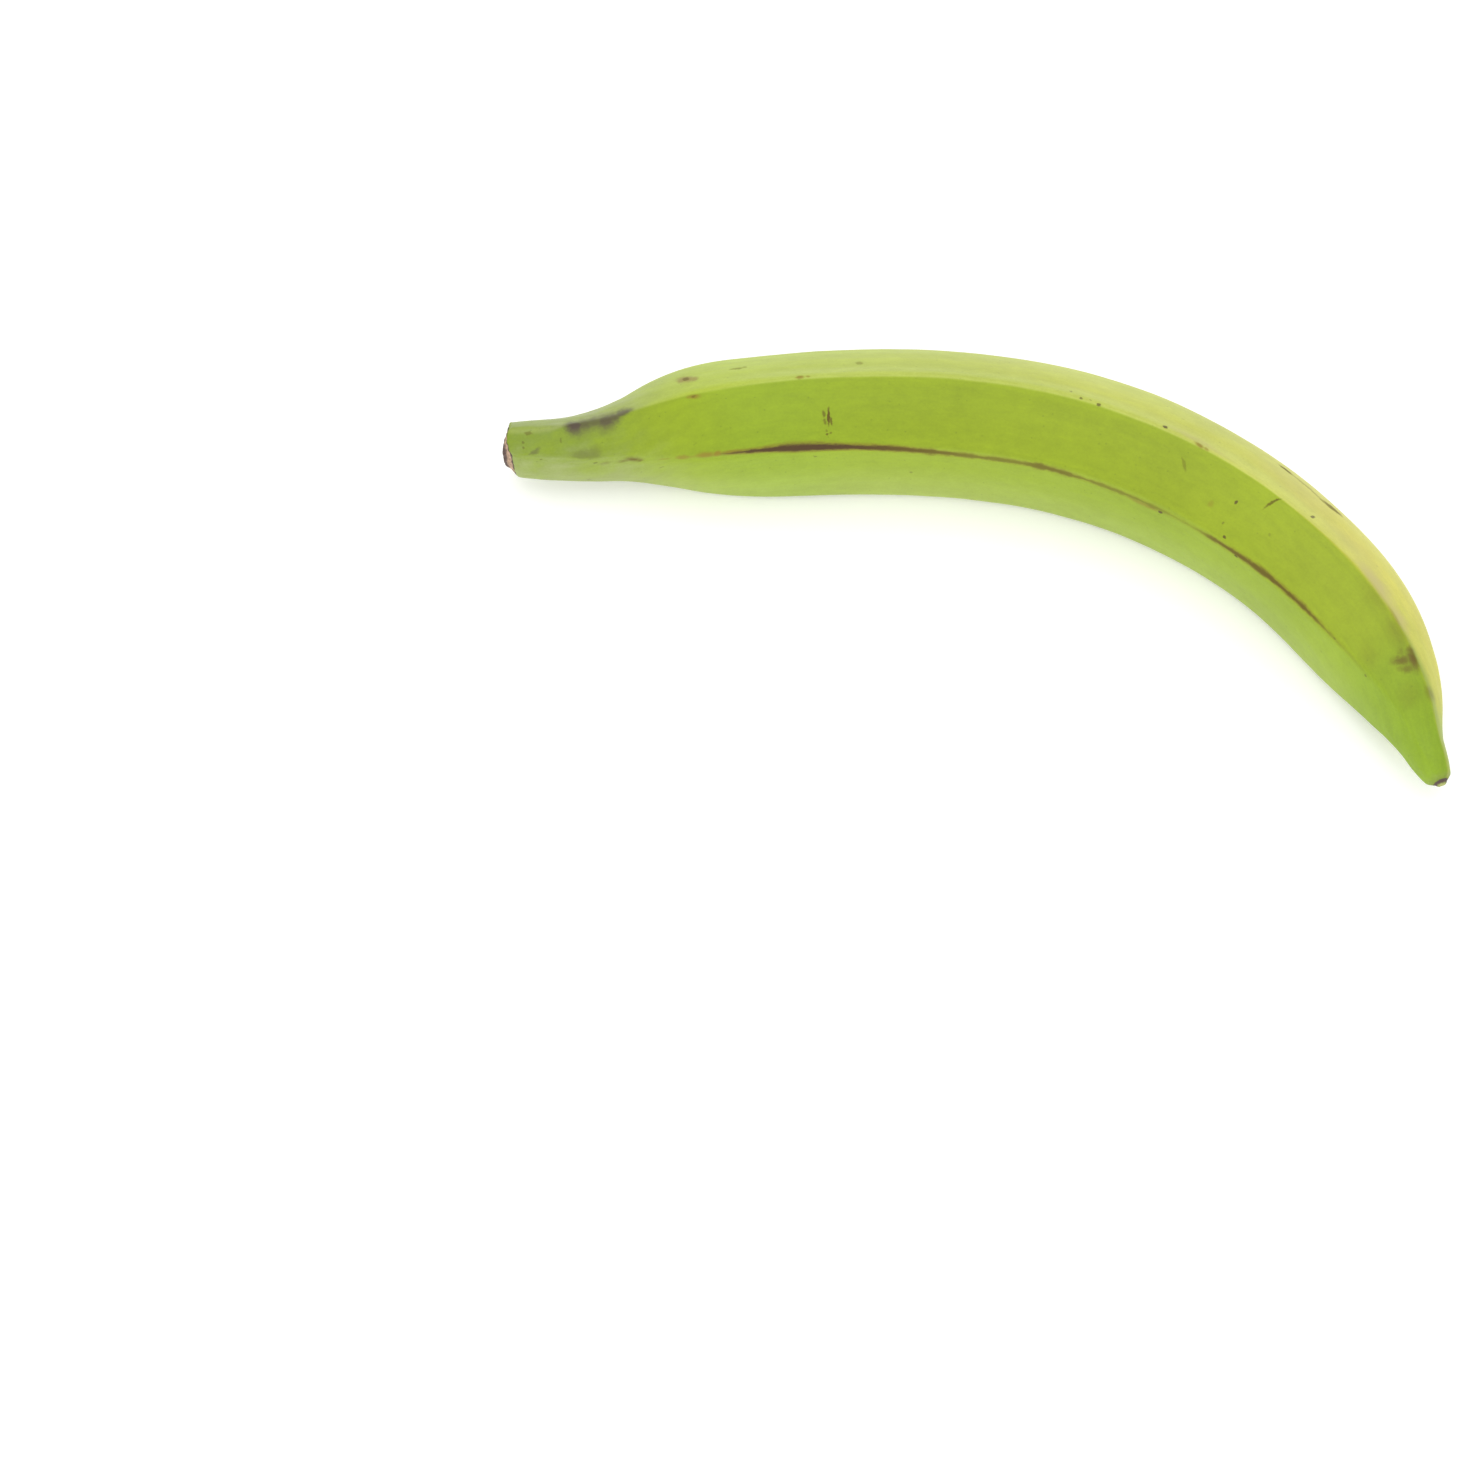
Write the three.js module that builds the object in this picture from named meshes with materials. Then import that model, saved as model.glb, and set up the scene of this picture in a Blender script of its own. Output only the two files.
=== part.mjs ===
// A green cooking plantain, picked, lying on one of its flat sides.
// Stalk, ridged body and beaked tip grew as one piece, so the fruit is one solid.
//
// Millimetres. +X runs along the chord of the bend, from the cut stalk to the tip,
// +Y points to the outer side of the bend, and +Z is up. The origin is on the
// surface that the fruit lies on, under the middle of its bounding box.
//
// The skin is a smooth surface over rings of control points. Each ring is the
// same five-ridged section, set square to the middle line of the fruit.

import * as THREE from "three";

// The section at the belly. A ridge is where two flat sides of the peel meet:
// its angle is counted from the outer side of the bend, up over the top, and its
// reach from the middle line is a share of the fruit's radius. Swell is how far
// the side that follows the ridge stands out at its middle, in mm at the belly.
const BELLY_RADIUS = 22.7;
const RIDGES = [
  { name: "outer", angle: 12, reach: 1.04, swell: 0.9 },
  { name: "top", angle: 82.5, reach: 0.98, swell: 0.8 },
  { name: "inner", angle: 145, reach: 0.95, swell: 1.6 },
  { name: "inner_foot", angle: 228, reach: 1.03, swell: 1.8 },
  { name: "outer_foot", angle: 308, reach: 1.01, swell: 0.9 },
];
const RIDGE_EDGE = 3.2; // from a ridge to the points that hold its sides, at the belly
const EDGE_SWELL = 0.3; // the share of a side's swell that those points take

// The middle line and what the section does along it. Radius is from the middle
// line to the ridges, twist turns the section in degrees, and round is 0 where
// the section is fully angular and 1 where it is a circle.
const STATIONS = [
  { at: "cut", x: 3.6, y: 5.1, z: 13.9, radius: 7.3, twist: -6, round: 0.55 },
  { at: "stalk", x: 9.2, y: 7.0, z: 14.2, radius: 9.1, twist: -5, round: 0.55 },
  { at: "waist", x: 19.8, y: 11.2, z: 14.6, radius: 10.0, twist: -2, round: 0.5 },
  { at: "flare", x: 34.0, y: 19.5, z: 15.5, radius: 13.1, twist: 5, round: 0.38 },
  { at: "flare", x: 42.5, y: 25.3, z: 16.1, radius: 16.8, twist: 8, round: 0.22 },
  { at: "shoulder", x: 51.2, y: 29.9, z: 16.9, radius: 20.0, twist: 7, round: 0.12 },
  { at: "shoulder", x: 65.0, y: 36.1, z: 17.9, radius: 21.6, twist: 2.5, round: 0.03 },
  { at: "body", x: 94.0, y: 49.6, z: 18.8, radius: 22.5, twist: 1.5, round: 0 },
  { at: "belly", x: 126.0, y: 61.2, z: 18.9, radius: 22.7, twist: 2, round: 0 },
  { at: "body", x: 159.0, y: 67.1, z: 18.8, radius: 22.5, twist: 2.5, round: 0 },
  { at: "body", x: 193.0, y: 66.0, z: 18.4, radius: 22.0, twist: 2.5, round: 0 },
  { at: "body", x: 230.0, y: 55.2, z: 17.3, radius: 20.7, twist: 1, round: 0 },
  { at: "taper", x: 259.0, y: 38.0, z: 16.0, radius: 18.7, twist: -5, round: 0 },
  { at: "taper", x: 276.0, y: 22.8, z: 14.8, radius: 12.8, twist: -15, round: 0.1 },
  { at: "beak", x: 286.0, y: 11.2, z: 13.4, radius: 6.8, twist: -27, round: 0.4 },
  { at: "beak", x: 290.0, y: 6.4, z: 12.7, radius: 5.4, twist: -27, round: 0.7 },
  { at: "tip", x: 292.5, y: 3.4, z: 12.3, radius: 4.5, twist: -27, round: 0.9 },
];

// Rings of control points stand this far apart, closer where the form turns fast.
const END_SPACING = 3.4;
const BODY_SPACING = 9;
const STALK_ZONE = 34;
const BEAK_ZONE = 34;

// The broken end of the stalk and the scar at the tip, ring by ring inwards from
// the rim: beyond is how far a ring stands out past the rim, share is its radius
// as a share of the rim's.
const STALK_END = [
  { beyond: 0.5, share: 0.97 },
  { beyond: 1.1, share: 0.86 },
  { beyond: 2.0, share: 0.6 },
  { beyond: 2.6, share: 0.28 },
];
const STALK_SLANT = 0.4; // the break leans, lower on the inner side of the bend
const STALK_SLANT_ANGLE = 30;
const TIP_END = [
  { beyond: 1.0, share: 0.9 },
  { beyond: 1.6, share: 0.66 },
  { beyond: 1.9, share: 0.45 },
  { beyond: 2.6, share: 0.4 },
  { beyond: 2.9, share: 0.2 },
];

const STEPS_AROUND = 2; // facets for each control point round the section
const STEPS_ALONG = 1;

const PEEL = { color: 0x9fb43a, roughness: 0.45, metalness: 0 };

const radians = THREE.MathUtils.degToRad;

// The section at the belly, as control points round it: four for each ridge.
function bellySection() {
  const corners = RIDGES.map(({ angle, reach }) =>
    new THREE.Vector2(1, 0).rotateAround(new THREE.Vector2(), radians(angle))
      .multiplyScalar(reach * BELLY_RADIUS));
  const points = [];
  corners.forEach((corner, i) => {
    const before = corners.at(i - 1);
    const after = corners[(i + 1) % corners.length];
    const swellBefore = RIDGES.at(i - 1).swell;
    const swellAfter = RIDGES[i].swell;
    points.push(sidePoint(corner, before, RIDGE_EDGE, -EDGE_SWELL * swellBefore));
    points.push(corner);
    points.push(sidePoint(corner, after, RIDGE_EDGE, EDGE_SWELL * swellAfter));
    points.push(sidePoint(corner, after, corner.distanceTo(after) / 2, swellAfter));
  });
  return points;
}

// The point that far from a corner towards the next one, moved off the line.
function sidePoint(corner, next, distance, off) {
  const run = next.clone().sub(corner).normalize();
  const out = new THREE.Vector2(run.y, -run.x);
  return corner.clone().addScaledVector(run, distance).addScaledVector(out, off);
}

const VALUES = ["x", "y", "z", "radius", "twist", "round"];

// Every station's distance along the middle line.
function stationDistances() {
  const distances = [0];
  for (let i = 1; i < STATIONS.length; i++) {
    const a = STATIONS[i - 1];
    const b = STATIONS[i];
    distances.push(distances[i - 1] + Math.hypot(b.x - a.x, b.y - a.y, b.z - a.z));
  }
  return distances;
}

const DISTANCES = stationDistances();
const LENGTH = DISTANCES.at(-1);

// How fast a value changes at a station: the mean of the slopes on both sides,
// each weighted by the other side's length.
function slopeAt(i, value) {
  const slope = (j) =>
    (STATIONS[j + 1][value] - STATIONS[j][value]) / (DISTANCES[j + 1] - DISTANCES[j]);
  if (i === 0) return slope(0);
  if (i === STATIONS.length - 1) return slope(i - 1);
  const before = DISTANCES[i] - DISTANCES[i - 1];
  const after = DISTANCES[i + 1] - DISTANCES[i];
  return (slope(i - 1) * after + slope(i) * before) / (before + after);
}

// The fruit's values at a distance along the middle line, on a smooth curve
// through the stations.
function valuesAt(distance) {
  let i = 0;
  while (i < STATIONS.length - 2 && distance > DISTANCES[i + 1]) i++;
  const span = DISTANCES[i + 1] - DISTANCES[i];
  const t = (distance - DISTANCES[i]) / span;
  const found = {};
  for (const value of VALUES) {
    const start = STATIONS[i][value];
    const end = STATIONS[i + 1][value];
    found[value] =
      start * (2 * t ** 3 - 3 * t ** 2 + 1) +
      end * (3 * t ** 2 - 2 * t ** 3) +
      slopeAt(i, value) * span * (t ** 3 - 2 * t ** 2 + t) +
      slopeAt(i + 1, value) * span * (t ** 3 - t ** 2);
  }
  return found;
}

// Where the rings stand along the middle line.
function ringDistances() {
  const zones = [
    [0, STALK_ZONE, END_SPACING],
    [STALK_ZONE, LENGTH - BEAK_ZONE, BODY_SPACING],
    [LENGTH - BEAK_ZONE, LENGTH, END_SPACING],
  ];
  const found = [0];
  for (const [from, to, spacing] of zones) {
    const count = Math.round((to - from) / spacing);
    for (let i = 1; i <= count; i++) found.push(from + ((to - from) * i) / count);
  }
  return found;
}

// The directions of a ring: along the fruit, outwards and up.
function directionsAt(distance) {
  const reach = 1;
  const from = valuesAt(Math.max(0, distance - reach));
  const to = valuesAt(Math.min(LENGTH, distance + reach));
  const along = new THREE.Vector3(to.x - from.x, to.y - from.y, to.z - from.z).normalize();
  const outward = new THREE.Vector3(-along.y, along.x, 0).normalize();
  const up = along.clone().cross(outward);
  return { along, outward, up };
}

// One ring of control points. Share shrinks it, and shift(angle) moves its points
// along the fruit.
function ring(distance, section, share = 1, shift = () => 0) {
  const { x, y, z, radius, twist, round } = valuesAt(distance);
  const { along, outward, up } = directionsAt(distance);
  const mean = section.reduce((sum, p) => sum + p.length(), 0) / section.length;
  const size = (radius / BELLY_RADIUS) * share;
  return section.map((p) => {
    const angle = p.angle() + radians(twist);
    const reach = THREE.MathUtils.lerp(p.length(), mean, round) * size;
    return new THREE.Vector3(x, y, z)
      .addScaledVector(outward, reach * Math.cos(angle))
      .addScaledVector(up, reach * Math.sin(angle))
      .addScaledVector(along, shift(angle));
  });
}

// All rings, from the middle of the broken stalk to the middle of the tip scar.
function controlRings() {
  const section = bellySection();
  const slant = (angle) => -STALK_SLANT * Math.cos(angle - radians(STALK_SLANT_ANGLE));
  const stalkEnd = STALK_END.toReversed().map(({ beyond, share }) =>
    ring(0, section, share, (angle) => slant(angle) * share - beyond));
  const [cut, ...body] = ringDistances();
  const tipEnd = TIP_END.map(({ beyond, share }) =>
    ring(LENGTH, section, share, () => beyond));
  return [
    ...stalkEnd,
    ring(cut, section, 1, slant),
    ...body.map((distance) => ring(distance, section)),
    ...tipEnd,
  ];
}

// A point of the cubic B-spline over four control points, t from 0 to 1.
function splinePoint(points, t) {
  const weights = [
    (1 - t) ** 3,
    3 * t ** 3 - 6 * t ** 2 + 4,
    -3 * t ** 3 + 3 * t ** 2 + 3 * t + 1,
    t ** 3,
  ];
  const found = new THREE.Vector3();
  points.forEach((p, i) => found.addScaledVector(p, weights[i] / 6));
  return found;
}

// The rings of the finished skin, on the smooth surface over the control rings.
function skinRings() {
  const control = controlRings();
  const around = control[0].length;
  const rounded = control.map((points) => {
    const found = [];
    for (let i = 0; i < around * STEPS_AROUND; i++) {
      const first = Math.floor(i / STEPS_AROUND) - 1 + around;
      const four = [0, 1, 2, 3].map((k) => points[(first + k) % around]);
      found.push(splinePoint(four, (i % STEPS_AROUND) / STEPS_AROUND));
    }
    return found;
  });
  const last = rounded.length - 1;
  const rows = [];
  for (let i = 0; i < last * STEPS_ALONG; i++) {
    const first = Math.floor(i / STEPS_ALONG) - 1;
    const t = (i % STEPS_ALONG) / STEPS_ALONG;
    rows.push(rounded[0].map((_, j) => {
      const four = [0, 1, 2, 3].map((k) =>
        rounded[THREE.MathUtils.clamp(first + k, 0, last)][j]);
      return splinePoint(four, t);
    }));
  }
  rows.push(rounded[last]);
  return rows;
}

function middleOf(points) {
  const sum = points.reduce((total, p) => total.add(p), new THREE.Vector3());
  return sum.divideScalar(points.length);
}

// The closed skin: bands of triangles between the rings, a fan at each end, and
// the underside pressed flat where it would pass through the surface.
function fruitGeometry() {
  const rows = skinRings();
  const around = rows[0].length;
  const points = [...rows.flat(), middleOf(rows[0]), middleOf(rows.at(-1))];
  const stalkMiddle = points.length - 2;
  const tipMiddle = points.length - 1;
  const lastRow = (rows.length - 1) * around;
  const triangles = [];
  for (let j = 0; j < around; j++) {
    const next = (j + 1) % around;
    triangles.push(stalkMiddle, next, j);
    triangles.push(tipMiddle, lastRow + j, lastRow + next);
    for (let row = 0; row < lastRow; row += around) {
      triangles.push(row + j, row + next, row + around + next);
      triangles.push(row + j, row + around + next, row + around + j);
    }
  }
  const positions = points.flatMap(({ x, y, z }) => [x, y, Math.max(z, 0)]);
  const geometry = new THREE.BufferGeometry();
  geometry.setAttribute("position", new THREE.Float32BufferAttribute(positions, 3));
  geometry.setIndex(triangles);
  geometry.computeBoundingBox();
  const middle = geometry.boundingBox.getCenter(new THREE.Vector3());
  geometry.translate(-middle.x, -middle.y, 0);
  geometry.computeVertexNormals();
  return geometry;
}

const fruit = new THREE.Mesh(fruitGeometry(), new THREE.MeshStandardMaterial(PEEL));
fruit.name = "plantain_fruit";

const plantain = new THREE.Group();
plantain.name = "plantain";
plantain.add(fruit);

export default plantain;
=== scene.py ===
import math
from collections import namedtuple

import bmesh
import bpy
from bpy.props import FloatProperty, FloatVectorProperty, IntProperty, PointerProperty
from bpy.types import Operator, Panel, PropertyGroup
from mathutils import Matrix, Vector


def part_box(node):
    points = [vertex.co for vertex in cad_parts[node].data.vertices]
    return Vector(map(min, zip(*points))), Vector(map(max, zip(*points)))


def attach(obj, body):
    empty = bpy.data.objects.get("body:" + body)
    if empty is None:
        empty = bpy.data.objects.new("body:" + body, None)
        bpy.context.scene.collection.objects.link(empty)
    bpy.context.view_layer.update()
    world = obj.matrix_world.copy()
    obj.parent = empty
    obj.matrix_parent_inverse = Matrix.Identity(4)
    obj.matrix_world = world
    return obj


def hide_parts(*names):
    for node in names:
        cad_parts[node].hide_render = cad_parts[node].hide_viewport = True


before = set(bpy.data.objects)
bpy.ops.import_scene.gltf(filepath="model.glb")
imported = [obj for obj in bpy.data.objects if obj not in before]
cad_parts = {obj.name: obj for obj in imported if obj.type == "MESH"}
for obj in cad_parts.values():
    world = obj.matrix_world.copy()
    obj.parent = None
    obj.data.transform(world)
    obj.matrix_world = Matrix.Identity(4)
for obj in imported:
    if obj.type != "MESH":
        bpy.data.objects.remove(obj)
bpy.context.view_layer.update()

bl_info = {
    "name": "Green Plantain",
    "version": (1, 0, 0),
    "blender": (4, 5, 0),
    "location": "View3D > Sidebar > Plantain",
    "description": "Models one green cooking plantain and a plain studio round it",
    "category": "Object",
}

# The frame is in metres, +X from the cut stalk to the tip, +Y to the outer side of
# the bend and +Z up. The tables below are in millimetres.
MM = 0.001
NODE = "plantain_fruit"

# The section at the belly. A ridge is where two flat sides of the peel meet: its
# angle is counted from the outer side of the bend up over the top, reach is its
# distance from the middle line as a share of the fruit's radius, and swell is how
# far the side after it stands out at its middle, in mm.
Ridge = namedtuple("Ridge", "name angle reach swell")
RIDGES = (
    Ridge("outer", 12, 1.04, 0.9),
    Ridge("top", 82.5, 0.98, 0.8),
    Ridge("inner", 145, 0.95, 1.6),
    Ridge("inner foot", 228, 1.03, 1.8),
    Ridge("outer foot", 308, 1.01, 0.9),
)
POINTS_PER_RIDGE = 4
POINTS_AROUND = POINTS_PER_RIDGE * len(RIDGES)
EDGE_SWELL = 0.3

# The middle line in mm, the radius out to the ridges, the turn of the section in
# degrees, and how round it is: 0 with full ridges, 1 a circle.
Station = namedtuple("Station", "at x y z radius twist round")
STATIONS = (
    Station("cut", 3.6, 5.6, 13.9, 9, -6, 0.55),
    Station("stalk", 9.2, 7.6, 14.2, 9.6, -5, 0.55),
    Station("waist", 19.8, 11.8, 14.7, 10.5, -2, 0.5),
    Station("flare", 34, 20, 15.5, 13.5, 5, 0.38),
    Station("flare", 42.5, 25.6, 16.1, 17.1, 8, 0.22),
    Station("shoulder", 51.2, 29.9, 16.9, 20, 7, 0.12),
    Station("shoulder", 65, 36.1, 17.9, 21.6, 2.5, 0.03),
    Station("body", 94, 49.6, 18.8, 22.5, 1.5, 0),
    Station("belly", 126, 61.2, 18.9, 22.7, 2, 0),
    Station("body", 159, 67.1, 18.8, 22.5, 2.5, 0),
    Station("body", 193, 65.7, 18.2, 21.7, 2.5, 0),
    Station("body", 229.8, 54.8, 17, 20.3, 1, 0),
    Station("taper", 258.6, 37.6, 15.7, 18.2, -5, 0),
    Station("taper", 275.4, 22.4, 14.6, 12.2, -15, 0.1),
    Station("beak", 285.4, 10.7, 13.3, 6.8, -27, 0.4),
    Station("beak", 289.6, 6.1, 12.7, 5.7, -27, 0.7),
    Station("tip", 292.3, 3.2, 12.3, 4.4, -27, 0.9),
)

# Rings stand this far apart in mm, closer at both ends where the form turns fast.
END_SPACING = 3.4
BODY_SPACING = 9
END_ZONE = 34

# The dried cut and the scar at the tip, ring by ring inwards from the rim: how far a
# ring stands out past the end station, its radius as a share of the station's, and
# how far its middle is moved to the inner side of the bend, in mm.
EndRing = namedtuple("EndRing", "beyond share inner", defaults=(0,))
CUT_RINGS = (
    EndRing(1.7, 0.94, -0.4),
    EndRing(1.9, 0.9, -0.3),
    EndRing(2, 0.82),
    EndRing(2.3, 0.7, 0.6),
    EndRing(3.1, 0.54, 1.3),
    EndRing(3.7, 0.36, 1.9),
    EndRing(3.8, 0.18, 2.2),
)
TIP_RINGS = (
    EndRing(0.5, 0.9),
    EndRing(1.1, 0.75),
    EndRing(1.6, 0.59),
    EndRing(1.9, 0.46),
    EndRing(2.6, 0.36),
    EndRing(2.7, 0.18),
)
# How far past the first station the green ends, and how far the cut's edge is drawn
# out, or in where it is below 0, at single points of its rim, in mm.
CUT_RIM = 1.8
CUT_EDGE = {
    2: 0.3, 3: 0.3, 4: 0.2, 5: 0.3, 6: 0.5, 7: 0.6, 8: -0.3, 9: -1.4, 10: -1.5, 11: -1.7, 12: -2,
    13: -2, 14: -1.4, 15: -0.7,
}

# Where the ridges stand round the section on the map, as shares of a full turn
# from the middle of the underside.
SEAM_POINT = 15
TURN = {ridge.name: ((POINTS_PER_RIDGE * i + 1 - SEAM_POINT) % POINTS_AROUND) / POINTS_AROUND
        for i, ridge in enumerate(RIDGES)}

# Every mark on the peel: its middle along the fruit from the cut and round it from
# the top ridge, toward the inner side, then its half length and half width, all in
# mm, how strongly it shows and its slant in degrees. A dot is a round one.
Mark = namedtuple("Mark", "along around length width strength slant", defaults=(0,))


def dot(along, around, radius, strength):
    return Mark(along, around, radius, radius, strength)


MARKS = {
    "bruise": (
        Mark(18.2, 0.5, 2.9, 4, 1, -10), Mark(21, 0, 2.8, 4, 0.8, -10),
        Mark(24.2, -0.4, 3.4, 4, 0.74, -6), Mark(27.6, 0.2, 3.2, 4.6, 0.9),
        Mark(30, -0.7, 2.4, 3.8, 0.85, -10), Mark(32.8, -2.6, 3, 2.4, 0.85, -20),
        Mark(20, 10.4, 3.4, 1.7, 0.36, 10), Mark(22.8, 10.6, 2.6, 1.8, 0.36, -40),
        Mark(6.3, 9, 1.7, 0.7, 0.5, -40), Mark(28, 44, 7, 2.2, 0.5, 8),
        Mark(284, -38, 5, 2.4, 0.55, -20),
    ),
    "smudge": (
        Mark(33.7, 16, 2.1, 1.4, 0.9, 38), dot(35.5, 17.5, 1.2, 0.75),
        Mark(31, 16.6, 1.8, 1, 0.55, -14), Mark(25.6, 16, 1.6, 0.9, 0.35),
        Mark(291.6, 1.4, 2.4, 3, 1, -60), Mark(289.4, 0.4, 1.5, 2.4, 0.85),
        Mark(290.4, 5.4, 2.2, 1.3, 0.85, -70), Mark(293, 5.2, 1.8, 1, 0.65, -60),
        Mark(288, 4.4, 1.2, 1, 0.4), Mark(301, -1.2, 2, 3, 0.48), Mark(272, 2.6, 5.5, 2.6, 0.22, -4),
        Mark(283, 2.4, 4.5, 3.2, 0.3, -6), Mark(285, 13, 3.5, 2.4, 0.16, 10),
        Mark(300, 7, 3, 2.4, 0.2, -10),
    ),
    "cork": (
        Mark(4.2, 3.4, 1.2, 0.55, 0.5, 4), dot(52.6, -10.8, 0.9, 0.6), dot(54.8, 2.2, 0.6, 0.5),
        Mark(67.4, -12, 1.9, 0.6, 0.5), Mark(69.6, -12.4, 0.8, 0.5, 0.35), dot(102.8, -10.2, 1, 0.4),
        Mark(93.2, 14.4, 2.1, 0.4, 1, 92), Mark(91.8, 13.7, 0.9, 0.5, 0.7, 80),
        Mark(92, 15.7, 0.7, 0.5, 0.6, 60), Mark(93.9, 15.7, 1, 0.36, 0.8, 75),
        dot(92.6, 19.2, 0.42, 0.8), dot(93.6, 18.8, 0.38, 0.6), dot(92.4, 18.1, 0.33, 0.5),
        Mark(231, 3.6, 4.2, 0.42, 0.8, -76), Mark(202.6, 9.6, 2, 0.45, 0.4, 42),
        Mark(224.4, -17.9, 2.3, 0.7, 0.8, 9), Mark(231.4, -17.2, 5.4, 0.5, 0.4, 6),
        Mark(240.4, -17.2, 3.2, 1.1, 0.75, -9), Mark(237.6, -16.4, 1.3, 0.6, 0.5),
        Mark(150, -36, 11, 0.6, 0.6, 3), Mark(208, -47, 6, 1.2, 0.6, -6),
        Mark(118, -52, 0.5, 3.2, 0.7, 12), Mark(92, 53, 8, 0.6, 0.6, -3),
        Mark(182, 55, 2.2, 1, 0.6, 30),
    ),
    "rust": (
        Mark(52.7, -10.6, 2.6, 1.4, 0.8, 18), dot(51.5, -10.4, 1.2, 0.7), dot(54.9, -9.9, 1.2, 0.7),
        Mark(54.9, 2.2, 1.9, 1.1, 0.75, 34), dot(53.5, 1.8, 0.9, 0.55),
        Mark(49.6, 20.2, 2.4, 1.2, 0.6, 20), Mark(52.4, 21, 1.6, 0.7, 0.3, 10),
        Mark(57, 21.4, 3, 1.4, 0.75, 14), dot(60.6, 21.9, 1.4, 0.85),
        Mark(64.8, 22.4, 3.2, 1.2, 0.65, 8), Mark(43.5, 19.2, 2, 0.6, 0.3, 10),
        Mark(197, 29.2, 5, 1.1, 0.5, -3), Mark(85.4, 0.2, 1.1, 1.5, 0.8), Mark(87.8, 0, 0.6, 1, 0.6),
        Mark(203.8, -0.8, 1.2, 1.8, 0.8, -30), Mark(206.1, -0.6, 0.8, 1.2, 0.6, -20),
        Mark(233.4, 24.6, 1, 0.7, 0.6, 30), dot(216, 14.6, 0.8, 0.35), Mark(279, -1.6, 3.4, 1.4, 0.3),
        Mark(140, 52, 3, 0.8, 0.6),
    ),
    "speck": (
        Mark(163.8, -4.1, 0.43, 0.82, 0.5), Mark(167.2, 0, 0.47, 0.89, 0.7),
        Mark(169.9, -0.8, 0.37, 0.7, 0.4), Mark(172.6, 0.8, 0.65, 1.23, 0.8),
        Mark(192.6, -2.4, 0.72, 1.37, 0.9), dot(222.2, 10.8, 0.55, 0.9), dot(222.6, 17, 0.42, 0.5),
        dot(225.4, 20.6, 0.6, 0.9), dot(202.8, 28.9, 0.8, 1), dot(232, 26.4, 0.65, 0.95),
        Mark(241.6, -6, 0.6, 1.1, 0.8), dot(236.5, 12.2, 0.4, 0.3), dot(289.4, 19.4, 0.55, 0.6),
        dot(274.6, 20.6, 0.47, 0.5), dot(8.2, 12.6, 0.35, 0.5), dot(23, 15.4, 0.52, 0.5),
        Mark(13.8, 5.6, 0.32, 0.61, 0.4), dot(2.8, 5.8, 0.35, 0.5), dot(3, 7.2, 0.35, 0.5),
        Mark(20.6, 21.4, 0.7, 0.4, 0.5, 20), Mark(42, 24.4, 0.8, 0.3, 0.4),
        Mark(88.6, 31.5, 0.7, 0.4, 0.45, 20), dot(118.5, 38.5, 0.4, 0.4), dot(132, -30, 0.6, 0.7),
        dot(137, -41, 0.5, 0.6), dot(176, -28, 0.65, 0.7), dot(214, -38, 0.65, 0.8),
        dot(160, 51, 0.55, 0.6),
    ),
    "blush": (
        Mark(268, -5, 8, 3.4, 0.6, 10), Mark(279, -4.4, 4, 2.6, 0.5, 10), Mark(203, -4, 8, 2, 0.3, 4),
        Mark(232, -12, 12, 3.5, 0.25, 4), Mark(255, -10, 10, 3.5, 0.2), Mark(250, -44, 12, 3, 0.4),
    ),
}

# The long dried line that follows the inner ridge: at each distance along the fruit
# in mm, its place round the section in turns, its half width in mm and its strength.
ScarPoint = namedtuple("ScarPoint", "along turn width strength")
SCAR = (
    ScarPoint(61, 0.682, 0.2, 0), ScarPoint(65.5, 0.683, 0.55, 0.65), ScarPoint(71, 0.684, 0.85, 0.95),
    ScarPoint(78, 0.685, 1.65, 1), ScarPoint(85, 0.6875, 2.35, 1), ScarPoint(93, 0.69, 2, 1),
    ScarPoint(104, 0.695, 1.55, 1), ScarPoint(116, 0.703, 1.5, 0.95), ScarPoint(126, 0.709, 1.35, 0.8),
    ScarPoint(140, 0.713, 1.2, 0.6), ScarPoint(152, 0.709, 1, 0.55), ScarPoint(162, 0.706, 1.4, 0.7),
    ScarPoint(176, 0.711, 1, 0.5), ScarPoint(200, 0.712, 0.8, 0.42), ScarPoint(212, 0.711, 0.6, 0.22),
    ScarPoint(222, 0.707, 0.9, 0.7), ScarPoint(238, 0.697, 1.15, 0.85),
    ScarPoint(258, 0.689, 1.1, 0.85), ScarPoint(268, 0.692, 0.85, 0.55),
    ScarPoint(280, 0.699, 0.6, 0.15), ScarPoint(296, 0.722, 0.4, 0),
)
SCAR_WIDEST = 3

# How far outwards the colour edge at the top ridge lies off it: mm along, and turns.
# A curve holds nothing below 0, so all of it is raised by the most it can drift.
# The edge also bounds the painted light of the upper outer side.
EDGE_DRIFT = (
    (0, -0.05), (9, -0.044), (15, 0), (20, 0.044), (28, 0.046), (36, 0.034), (48, 0.014),
    (62, -0.003), (90, -0.005), (120, -0.004), (200, 0.003), (220, 0.013), (235, 0.017), (255, 0.03),
    (275, 0.045), (287, 0.06), (300, 0.085), (312, 0.098),
)
MOST_DRIFT = 0.2

# How far the outer side has ripened, how much fresher the inner side is, and how
# much deeper the green of every side gets: mm along, and share.
RIPENESS = (
    (0, 0), (60, 0.02), (110, 0.16), (150, 0.32), (190, 0.5), (225, 0.8), (262, 1), (290, 0.97),
    (300, 0.85), (308, 0.4), (314, 0),
)
FRESHNESS = ((0, 0), (110, 0), (160, 0.25), (240, 0.5), (320, 0.5))
DEPTH = (
    (0, 0), (40, 0), (60, 0.2), (75, 0.35), (100, 0.1), (140, 0), (270, 0), (290, 0.55), (312, 1),
)

PEEL_MAP = "PeelMap"
RIDGE_MAP = "RidgeMap"

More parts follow.
